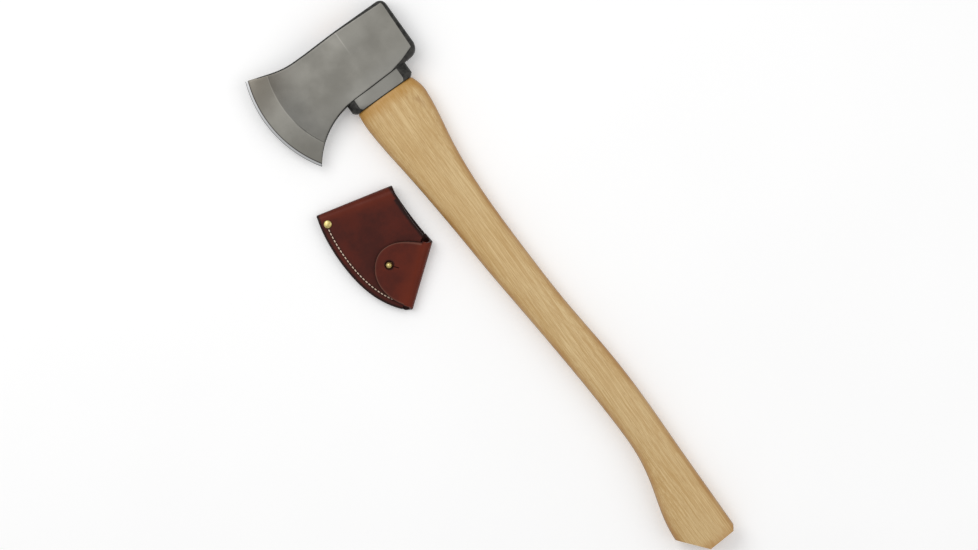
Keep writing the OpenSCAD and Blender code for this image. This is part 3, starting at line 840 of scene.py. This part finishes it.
class SheathShape:
    """Outlines and heights of the sheath, read off its CAD nodes."""
    GAP = 0.35           # air between the front leaf and the flap

    def __init__(self):
        self.tree = cad_tree("sheath_pocket")
        low, high = cad_box_of("sheath_pocket")
        inside = np.array([(low[0] + high[0]) / 2, (low[1] + high[1]) / 2, 5.0])
        self.t = hit(self.tree, inside, DOWN)[2]
        z = self.t / 2
        joint = next(j for j in frame["joints"] if j["name"] == "bend_roll")
        self.pivot = np.array(joint["pos_m"]) / MM
        self.fold_dir = unit(np.array(joint["axis"][:2]))
        self.inward = np.array([-self.fold_dir[1], self.fold_dir[0]])
        self.roll = self.pivot[2]
        self.origin = self.pivot[:2] - self.inward * self.roll
        # sewn edge
        ys = np.linspace(low[1] + 1.5, high[1] - 5, 60)
        xs = [hit(self.tree, (-FAR, y, z), (1, 0, 0))[0] for y in ys]
        self.seam_fit = np.polynomial.Polynomial.fit(ys, xs, 4)
        # mouth
        places = [hit(self.tree, (NEAR, y, z), (-1, 0, 0)) for y in np.linspace(low[1] + 2, high[1] - 1, 120)]
        places = np.array([p[:2] for p in places
                           if p is not None and p[0] > high[0] - 4 and self.uv(p)[1] > self.roll + 1.2])
        self.mouth_fit = np.polynomial.Polynomial.fit(places[:, 1], places[:, 0], 2)
        # top fold
        heights = np.arange(1.0, 12.0, 0.5)
        fold = []
        for x in np.linspace(low[0] + 16, high[0] - 6, 12):
            found = [hit(self.tree, (x, NEAR, h), (0, -1, 0)) for h in heights]
            fold.append([x, max(p[1] for p in found if p is not None)])
        slope, at = np.polyfit(*np.array(fold).T, 1)
        self.top_dir = np.array([1, slope]) / math.hypot(1, slope)
        self.down = np.array([self.top_dir[1], -self.top_dir[0]])
        self.top_at = np.array([0, at])
        self.fit_front(low, high)
        # the seam and the mouth as lines that run on past both folds
        ys = np.linspace(low[1] - 14, high[1] + 6, 700)
        self.seam = np.column_stack([self.seam_fit(ys), ys])
        ys = np.linspace(low[1] + 20, high[1] + 6, 500)
        self.mouth = np.column_stack([self.mouth_fit(ys), ys])

    def uv(self, p):
        d = np.asarray(p)[..., :2] - self.origin
        return np.stack([d @ self.fold_dir, d @ self.inward], axis=-1)

    def xy(self, u, v):
        return self.origin + np.multiply.outer(u, self.fold_dir) + np.multiply.outer(v, self.inward)

    def from_top(self, p):
        """Distance in plan from the top fold."""
        return (np.asarray(p)[..., :2] - self.top_at) @ self.down

    def fit_front(self, low, high):
        """The front leaf is level along the seam and rises as a plane to the mouth."""
        rows = []
        for x in np.linspace(low[0] + 12, high[0] - 6, 24):
            for y in np.linspace(low[1] + 10, high[1] - 10, 24):
                place = hit(self.tree, (x, y, NEAR), DOWN)
                clear = self.from_top((x, y)) > 10 and self.uv((x, y))[1] > self.roll + 2
                if place is not None and place[2] > 6 and clear:
                    rows.append(place)
        rows = np.array(rows)
        self.seam_h = np.percentile(rows[:, 2], 1)
        rising = rows[rows[:, 2] > self.seam_h + 0.8]
        basis = np.column_stack([rising[:, :2], np.ones(len(rising))])
        for _ in range(3):
            self.plane = np.linalg.lstsq(basis, rising[:, 2], rcond=None)[0]
            good = np.abs(basis @ self.plane - rising[:, 2]) < 0.2
            basis, rising = basis[good], rising[good]

    def front_h(self, p):
        """Height of the front leaf's outer face."""
        p = np.asarray(p)
        lift = p[..., 0] * self.plane[0] + p[..., 1] * self.plane[1] + self.plane[2] - self.seam_h
        return self.seam_h + (lift + np.sqrt(lift * lift + 0.12)) / 2

    def front_normal(self):
        return unit(np.array([-self.plane[0], -self.plane[1], 1.0]))

    def offset(self, line, distance, side):
        """The line moved sideways; side 1 is inwards for the seam, and -1 is inwards for the mouth."""
        tangent = unit(np.gradient(line, axis=0))
        return line + np.column_stack([tangent[:, 1], -tangent[:, 0]]) * side * distance

    def trimmed(self, line, v_low, top_in):
        """The stretch of a line between distance v_low from the flap's fold and top_in from the top fold."""
        keep = (self.uv(line)[:, 1] > v_low) & (self.from_top(line) > top_in)
        first, last = np.argmax(keep), len(keep) - 1 - np.argmax(keep[::-1])
        part = line[first:last + 1]
        v = self.uv(line[first - 1:first + 1])[:, 1]
        d = self.from_top(line[last:last + 2])
        start = between(line[first - 1], line[first], (v_low - v[0]) / (v[1] - v[0]))
        end = between(line[last], line[last + 1], (d[0] - top_in) / (d[0] - d[1]))
        return np.concatenate([[start], part[1:-1], [end]])

    def top_radius(self, p):
        """Outer radius of the top fold beside a point: half the sheath's height there."""
        return self.front_h(p) / 2


def leather_solid(name, grid, thickness, rim, groove, materials, sharp=55):
    """Closed sheet of leather round a grid of its middle surface, with rounded cut edges.

    rim is how far the rounded edge stands out on each side of the grid, in the order of the loop below.
    groove is how much the outer face is lowered where the thread lies.
    """
    normal = unit(np.cross(np.gradient(grid, axis=0), np.gradient(grid, axis=1)))
    lift = np.broadcast_to(thickness / 2 - groove, grid.shape[:2])[..., None] * normal
    outer, inner = grid + lift, grid - (thickness / 2) * normal
    patch = Patches()
    patch.grid(outer)
    patch.grid(inner)

    def loop(a):
        return np.concatenate([a[:, 0][:-1], a[-1][:-1], a[::-1, -1][:-1], a[0, ::-1][:-1]])

    m, n = grid.shape[:2]
    sides = np.repeat(rim, (m - 1, n - 1, m - 1, n - 1))
    middle = loop(grid)
    out = unit(np.cross(np.roll(middle, -1, axis=0) - np.roll(middle, 1, axis=0), loop(normal)))
    if (out * (middle - grid.reshape(-1, 3).mean(0))).sum() < 0:
        out = -out
    top, bottom = loop(outer), loop(inner)
    rows = []
    for a in np.linspace(0, math.pi, 8):
        share = (1 - math.cos(a)) / 2
        rows.append(top * (1 - share) + bottom * share + out * (sides * math.sin(a))[:, None])
    patch.grid(np.array(rows), wrap=True)
    return patch.piece(name, materials, sharp)


def leather_marks(piece, edge, dark, fold_red_and_highlight=0.0, pale=0.0):
    """Stores what the leather material reads: distance to a cut edge, and how dark (dye or painted shade),
    how red with a painted highlight, or pale it is.
    """
    for name, values in (("edge", edge), ("fold_red_and_highlight", fold_red_and_highlight), ("dark", dark), ("pale", pale)):
        mark(piece, name, np.broadcast_to(values, len(piece.data.vertices)))


STITCH_IN = 6.3      # distance of the stitch line from the sewn edge
MOUTH_IN = 2.1       # how much the front leaf is cut back at the mouth
POCKET_RIM = 0.9     # how far the pocket's rounded edges stand out past its grid


def pocket_plan(s, cut_back):
    """Plan grid of one leaf: columns run from the flap's fold to the top fold, first along the seam."""
    rows, start = 56, s.roll + 0.25
    columns = []
    for inset in (POCKET_RIM, 1.2, 2.0, 3.2, 4.4, 5.2, 5.6, 5.9, 6.1, 6.3, 6.5, 6.7, 7.0, 7.5, 8.6, 10.2,
                  12.0):
        line = s.offset(s.seam, inset, 1)
        top = s.top_radius(line[np.argmin(np.abs(s.from_top(line) - 5))])
        columns.append(resample(s.trimmed(line, start, top), rows))
    mouth = s.offset(s.mouth, POCKET_RIM, -1)
    top = s.top_radius(mouth[np.argmin(np.abs(s.from_top(mouth) - 8))])
    left, right = columns[-1], resample(s.trimmed(mouth, start, top), rows)
    right[:, 0] -= cut_back * smoothstep(s.from_top(right) / 34 - 0.18)
    u = np.linspace(0, 1, 44)
    body = coons(left, right, between(left[0], right[0], u), between(left[-1], right[-1], u), u)
    return np.concatenate([np.array(columns), body[1:]])


def build_pocket(s, material):
    """The pocket's one piece of leather: back leaf, half-round top fold and front leaf."""
    front, back = pocket_plan(s, MOUTH_IN), pocket_plan(s, 0.0)
    h = s.front_h(front)
    # the front leaf swells unevenly over the pocket, away from the seam and the top fold
    inset = distance_to(s.seam, front.reshape(-1, 2)).reshape(front.shape[:2])
    room = smoothstep((inset - 11) / 18) * smoothstep((s.from_top(front) - 6) / 16)
    swell = np.array([[noise.noise(Vector((x / 26, y / 26, 2.0))) for x, y in row] for row in front])
    h = h + 0.35 * room * swell
    front_mid = np.concatenate([front, (h - s.t / 2)[..., None]], axis=2)
    back_mid = np.concatenate([back, np.full(back.shape[:2] + (1,), s.t / 2)], axis=2)
    start, end = front_mid[:, -1], back_mid[:, -1]
    radius, level = (start[:, 2] - end[:, 2]) / 2, (start[:, 2] + end[:, 2]) / 2
    arcs = []
    for a in np.linspace(0, math.pi, 18)[1:-1]:
        share = (1 - math.cos(a)) / 2
        plan = start[:, :2] * (1 - share) + end[:, :2] * share - s.down * (radius * math.sin(a))[:, None]
        arcs.append(np.column_stack([plan, level + radius * math.cos(a)]))
    grid = np.concatenate([front_mid, np.array(arcs).transpose(1, 0, 2), back_mid[:, ::-1]], axis=1)
    gap = np.abs(distance_to(s.seam, grid.reshape(-1, 3)) - STITCH_IN).reshape(grid.shape[:2])
    along_seam = smoothstep((s.from_top(grid) - 15) / 1.5)
    groove = 0.55 * np.exp(-(gap / 0.55) ** 2) * along_seam
    rims = (0.15, POCKET_RIM) * 2
    piece = leather_solid("pocket_leather", grid, s.t, rims, groove, [material])
    p = points_of(piece)
    seam_d = distance_to(s.seam, p)
    front_face, top = p[:, 2] > s.seam_h * 0.62, s.from_top(p)
    mouth_d = np.where(front_face & (top > 14), distance_to(s.mouth - [MOUTH_IN, 0], p),
                       distance_to(s.mouth, p))
    edge = np.minimum(seam_d * 0.42, mouth_d * 0.36)
    width = 7 + 5 * smoothstep((p[:, 0] - s.seam[:, 0].mean()) / 70)
    # painted highlight on reddened leather: a band along the top fold, wider towards the mouth
    fold_red_and_highlight = 0.8 * np.exp(-((top - 0.6 * width) / (0.65 * width)) ** 2) * (p[:, 2] > 3)
    line = 0.95 * np.exp(-((seam_d - STITCH_IN) / 1.05) ** 2) * (top > 14)
    # painted shade: the leather lower than the front leaf, in and under the pocket, is darkened a little
    under = np.where(front_face, 0.0, 0.25)
    leather_marks(piece, edge=edge, fold_red_and_highlight=fold_red_and_highlight, dark=np.clip(line + under, 0, 1))
    settle(piece, "sheath_pocket", "sheath")


def hull(points):
    """Convex outline of points in plan, anticlockwise."""
    points = sorted(set(map(tuple, np.round(points, 4))))

    def half_of(ordered):
        chain = []
        for p in ordered:
            while len(chain) > 1:
                (x0, y0), (x1, y1) = chain[-2], chain[-1]
                if (x1 - x0) * (p[1] - y0) - (y1 - y0) * (p[0] - x0) > 0:
                    break
                chain.pop()
            chain.append(p)
        return chain[:-1]

    return np.array(half_of(points) + half_of(points[::-1]))


def flap_outline(s):
    """The flap's free edge in (u, v), from its seam end round to its mouth end."""
    ring = hull(s.uv(points_of(frame["nodes"]["sheath_flap"])))
    centre = np.array([(ring[:, 0].min() + ring[:, 0].max()) / 2, s.roll])
    dense = resample(np.concatenate([ring, ring[:1]]), 1200)
    angle = np.arctan2(dense[:, 1] - centre[1], dense[:, 0] - centre[0])
    radius = np.linalg.norm(dense - centre, axis=1)
    free = dense[:, 1] > s.roll + 0.05
    order = np.argsort(-angle[free])
    a, r = angle[free][order], soften(radius[free][order], 14)
    return centre + np.column_stack([np.cos(a), np.sin(a)]) * r[:, None]


def flap_mid(s, p):
    return s.front_h(p) + s.GAP + s.t / 2


def fold_radius(s, u):
    """Middle radius and centre height of the flap's fold at u: half the height it has to reach."""
    r = np.full_like(u, s.roll)
    for _ in range(4):
        r = (flap_mid(s, s.xy(u, np.zeros_like(u)) + r[:, None] * s.inward) + s.t / 2) / 2
    return r


def build_flap(s, material):
    """The flap and its turn, made as two pieces: the lower half of the turn, and the upper half with the
    flap.
    """
    columns, rim = 48, 0.85
    outline = resample(flap_outline(s), 400)
    n0, n1 = 108, 292       # where the flap's two sides give way to its far edge
    left, top, right = outline[:n0 + 1], outline[n0:n1 + 1], outline[n1:][::-1]
    u0, u1 = left[0, 0], right[0, 0]
    u = np.linspace(0, 1, columns)
    base_u = between(u0 - 0.3, u1 + 0.8, u)
    r = fold_radius(s, base_u)
    bottom = np.column_stack([base_u, r])
    left = resample(np.concatenate([bottom[:1], left]), 40)
    right = resample(np.concatenate([bottom[-1:], right]), 40)
    top = resample(top, columns)
    inset = plan_inset(coons(left, right, bottom, top, u), rim)
    plate_xy = s.xy(inset[..., 0], inset[..., 1])
    plate = np.concatenate([plate_xy, flap_mid(s, plate_xy)[..., None]], axis=2)

    mouth_end = s.uv(s.trimmed(s.mouth, s.roll, 10)[0])[0]
    seam_end = s.uv(s.trimmed(s.seam, s.roll, 10)[0])[0]
    tip_u, end_u = s.fold_ends[0] + rim, s.fold_ends[1] - rim

    def turned(angles, low_half):
        """Rows of the turn; angle 0 is at the back leaf and 180 degrees at the flap."""
        rows = []
        for a in angles:
            out = math.sin(a)
            first, last = (seam_end + rim, mouth_end - rim) if low_half else inset[[0, -1], 0, 0]
            # above the fold the flap's ends draw in from the sheath's corners at once
            share = out if low_half else out ** 5
            uu = np.linspace(between(first, tip_u, share), between(last, end_u, share), columns)
            rr = np.interp(uu, base_u, r)
            mid_r = rr - s.t / 2
            plan = s.xy(uu, rr - mid_r * out)
            rows.append(np.column_stack([plan, rr - mid_r * math.cos(a)]))
        return rows

    quarter = np.linspace(0, math.pi / 2, 12)
    flat = np.column_stack([s.xy(np.linspace(seam_end + rim, mouth_end - rim, columns),
                                 np.full(columns, s.roll + 0.2)), np.full(columns, s.t / 2)])
    low_rows = np.array([flat] + turned(quarter, True)).transpose(1, 0, 2)
    high_turn = np.array(turned(math.pi / 2 + quarter[:-1], False)).transpose(1, 0, 2)
    high_rows = np.concatenate([high_turn, plate], axis=1)

    lower = leather_solid("fold_leather", low_rows, s.t, (0.1, rim, 0.02, rim), 0.0, [material])
    upper = leather_solid("flap_leather", high_rows, s.t, (0.02, rim, rim, rim), 0.0, [material])
    cut_button_hole(s, upper)
    for piece in (lower, upper):
        p = points_of(piece)
        uv = s.uv(p)
        free = distance_to(outline, uv)
        ends = np.minimum(uv[:, 0] - tip_u + rim, end_u + rim - uv[:, 0])
        edge = np.where(uv[:, 1] > s.roll, free, np.maximum(np.minimum(ends, free + 1.0), 0))
        if piece is lower:
            edge = np.maximum(ends, 0)
        # the mouth end of the turn is burnished dark, like the mouth itself
        edge = edge * (1 - 0.6 * smoothstep((uv[:, 0] - end_u + 13) / 9))
        hole = np.linalg.norm(p[:, :2] - s.stud[:2], axis=1)
        top_face = p[:, 2] > flap_mid(s, p) + 0.35 * s.t
        # painted highlight on reddened leather: a band along the flap's fold
        fold_red_and_highlight = np.exp(-((uv[:, 1] - 7.0) / 8.0) ** 2) * (p[:, 2] > s.roll)
        pale = np.exp(-((edge - 0.95) / 0.5) ** 2) * top_face * (uv[:, 1] > s.roll)
        # painted shade: a dark ring on the flap round the button hole
        dark = smoothstep((5.2 - hole) / 0.8) if piece is upper else 0.0
        edge_mark = np.where(top_face & (uv[:, 1] > s.roll), edge + 0.45, edge)
        leather_marks(piece, edge=edge_mark, fold_red_and_highlight=0.8 * fold_red_and_highlight, dark=dark, pale=pale)
    out = -np.append(s.inward, 0.0)
    for piece, node, bodies, way in ((lower, "sheath_bend", ("sheath", "bend"), UP + out),
                                     (upper, "sheath_flap", ("bend", "flap"), UP - out)):
        settle(piece, node)
        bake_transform(piece)


def plan_inset(grid, distance):
    """Draws a plan grid in from its left, right and far sides by a distance."""
    centre = grid.reshape(-1, 2).mean(0)
    out = grid.copy()
    size = np.abs(grid.reshape(-1, 2) - centre).max(0)
    scale = 1 - distance / size
    out[..., 0] = centre[0] + (grid[..., 0] - centre[0]) * scale[0]
    low = grid[:, :1, 1]
    reach = grid[..., 1].max() - low
    out[..., 1] = low + (grid[..., 1] - low) * (1 - distance / reach)
    return out


def cut_button_hole(s, flap):
    """Round hole that passes the stud's ball, with a slit towards the fold."""
    radius, slit_w, slit_l = 4.3, 0.8, 9.6
    normal = s.front_normal()
    foot = s.stud - normal * 20
    side = -np.append(s.inward, 0.0)
    side = unit(side - normal * (side @ normal))
    half = np.cross(normal, side) * slit_w / 2
    box = [foot + half, foot + side * slit_l + half, foot + side * slit_l - half, foot - half]
    for outline in (circle(foot, normal, radius, side), box):
        boolean(flap, prism(outline, normal, 40), "DIFFERENCE")
    finish_shading(flap, 50)


def build_welt(s, material):
    """The strip sewn between the leaves along the seam."""
    lines = [s.offset(s.seam, a, 1) for a in (0.7, 3.5, 7.0, 10.6)]
    columns = [resample(s.trimmed(line, 2.2 * s.roll - 8, 9.5), 60) for line in lines]
    low, high = cad_box_of("sheath_welt")
    grid = np.array([np.column_stack([c, np.full(60, (low[2] + high[2]) / 2)]) for c in columns])
    piece = leather_solid("welt", grid, high[2] - low[2], (0.3, 0.3, 0.3, 0.6), 0.0, [material])
    leather_marks(piece, edge=0.7, dark=0.6)
    settle(piece, "sheath_welt", "sheath")


def loose_parts(node):
    """The separate solids of a CAD node, each as an array of points."""
    bm = bmesh.new()
    bm.from_mesh(frame["nodes"][node].data)
    bmesh.ops.remove_doubles(bm, verts=bm.verts, dist=1e-6)
    seen, parts = set(), []
    for first in bm.verts:
        if first in seen:
            continue
        stack, part = [first], []
        seen.add(first)
        while stack:
            vertex = stack.pop()
            part.append(np.array(vertex.co) / MM)
            for edge in vertex.link_edges:
                other = edge.other_vert(vertex)
                if other not in seen:
                    seen.add(other)
                    stack.append(other)
        parts.append(np.array(part))
    bm.free()
    return parts


def build_stitches(s):
    """One arched bar of thread for each CAD stitch, diving into the leather at both ends."""
    patch = Patches()
    half_w, half_h, count = 0.52, 0.40, 12
    for index, part in enumerate(loose_parts("seam_stitches")):
        plan = part[:, :2] - part[:, :2].mean(0)
        way = np.linalg.svd(plan, full_matrices=False)[2][0]
        length = np.ptp(plan @ way) / 2 - 0.45
        centre = (part[:, :2].max(0) + part[:, :2].min(0)) / 2
        upper = part[:, 2].max() > s.seam_h * 0.7
        side = 1 if upper else -1
        level = s.front_h(centre) + 0.02 if upper else 0.42
        lean = 0.05 * noise.noise(Vector((index * 1.7, 0.5, side)))
        across = np.array([-way[1], way[0]])
        rings = []
        for t in np.linspace(-1, 1, 17):
            rise = -0.95 * abs(t) ** 5
            middle = np.append(centre + way * length * t + across * lean * t, level + side * rise)
            width = 1 - 0.25 * abs(t) ** 4
            rings.append([middle + width * (half_w * math.cos(a) * np.append(across, 0)
                                            + half_h * math.sin(a) * UP) for a in full_turn(count)])
        patch.tube(rings)
    piece = patch.piece("saddle_stitches", [waxed_thread()], 60, weld=1e-8)
    settle(piece, "seam_stitches", "sheath")


def build_fittings(s):
    """The domed rivet cap and the ball stud."""
    brass = turned_brass("turned_brass")
    low, high = cad_box_of("rivet_cap")
    r = (high[0] - low[0]) / 2
    at = np.array([(low[0] + high[0]) / 2, (low[1] + high[1]) / 2, high[2] - 1.35])
    dome = [(r * math.cos(a), 0.25 + 1.1 * math.sin(a)) for a in np.linspace(0, math.pi / 2, 14)[:-1]]
    profile = [(1.55, low[2] - at[2]), (1.55, 0.0), (r - 0.35, 0.0), (r - 0.05, 0.08)] + dome + [(0.02, 1.35)]
    cap = lathe(profile, at, UP, "rivet_dome", brass)
    ball, foot, neck = s.ball, -np.linalg.norm(s.stud_ball - s.stud), 1.5
    turn = np.linspace(-math.pi / 2 + 0.5, math.pi / 2 - 0.03, 26)
    profile = [(neck, foot - s.t + 0.4), (neck, foot + 0.05), (2.7, foot + 0.06), (2.8, foot + 0.3),
               (2.5, foot + 0.5), (neck + 0.2, foot + 0.62), (neck, foot + 0.9), (neck, -ball + 0.55)]
    profile += [(ball * math.cos(a), ball * math.sin(a)) for a in turn]
    stud = lathe(profile, s.stud_ball, s.front_normal(), "ball_stud", brass)
    settle(cap, "rivet_cap", "sheath")
    settle(stud, "button_stud", "sheath")


def build_sheath():
    s = SheathShape()
    low, high = cad_box_of("button_stud")
    s.ball = (high[0] - low[0]) / 2
    s.stud_ball = np.array([(low[0] + high[0]) / 2, (low[1] + high[1]) / 2, high[2] - s.ball])
    s.stud = s.stud_ball - s.front_normal() * (s.stud_ball[2] - s.front_h(s.stud_ball))
    bend = s.uv(points_of(frame["nodes"]["sheath_bend"]))
    crest = bend[bend[:, 1] < 1.0][:, 0]
    s.fold_ends = crest.min(), crest.max()
    skin = leather("sheath_leather", colour(84, 30, 19), colour(66, 25, 18), colour(112, 40, 18))
    flap_skin = leather("flap_leather_skin", colour(94, 34, 20), colour(76, 28, 19), colour(112, 42, 20))
    build_pocket(s, skin)
    build_flap(s, flap_skin)
    build_welt(s, leather("welt_skin", colour(70, 34, 26), colour(48, 24, 19), colour(96, 44, 32)))
    build_stitches(s)
    build_fittings(s)


# ---- studio ----

def build_studio():
    """Pale floor, a large soft light overhead and a long-lens camera looking straight down at the hatchet."""
    scene = bpy.context.scene
    scene.view_settings.view_transform = "Standard"
    world = bpy.data.worlds.new("studio")
    scene.world = world
    world.use_nodes = True
    background = world.node_tree.nodes["Background"]
    background.inputs["Color"].default_value, background.inputs["Strength"].default_value = (1, 1, 1, 1), 0.50

    floor = Patches()
    span = np.linspace(-12000, 12000, 9)
    floor.grid(np.array([[(x, y, -0.4) for y in span] for x in span]))
    s = Shade("pale_floor", False)
    tone = s.mix(s.noise(0.004, 2), colour(247, 247, 247), colour(252, 252, 252))
    s.finish(Base_Color=tone, Roughness=0.9, Emission_Color=colour(255, 255, 255), Emission_Strength=0.16)
    floor.piece("floor", [s.material])

    def area(name, place, size, power, target):
        light = bpy.data.objects.new(name, bpy.data.lights.new(name, "AREA"))
        scene.collection.objects.link(light)
        light.location = place
        light.data.size = size
        light.data.energy = power
        light.rotation_euler = (Vector(target) - Vector(place)).to_track_quat("-Z", "Y").to_euler()

    middle = (-0.02, -0.23, 0.0)
    area("key", (-0.35, 0.75, 1.5), 1.3, 12, middle)
    area("fill", (0.9, -0.9, 1.3), 1.6, 6, middle)

    # the view is width metres across at the hatchet's middle level, with right and up as in the photograph
    lens, sensor, width, level = 300.0, 36.0, 0.918, 0.018
    right, up = Vector((0.813, -0.582, 0)).normalized(), Vector((0.582, 0.813, 0)).normalized()
    camera = bpy.data.objects.new("camera", bpy.data.cameras.new("camera"))
    camera.data.lens, camera.data.sensor_width, camera.data.clip_end = lens, sensor, 20
    scene.collection.objects.link(camera)
    matrix = Matrix((right, up, right.cross(up))).transposed().to_4x4()
    matrix.translation = (-0.0179, -0.2322, width * lens / sensor + level)
    camera.matrix_world = matrix
    scene.camera = camera


head_shape = build_head()
build_handle(head_shape)
dress_cad_nodes()
build_sheath()
build_studio()
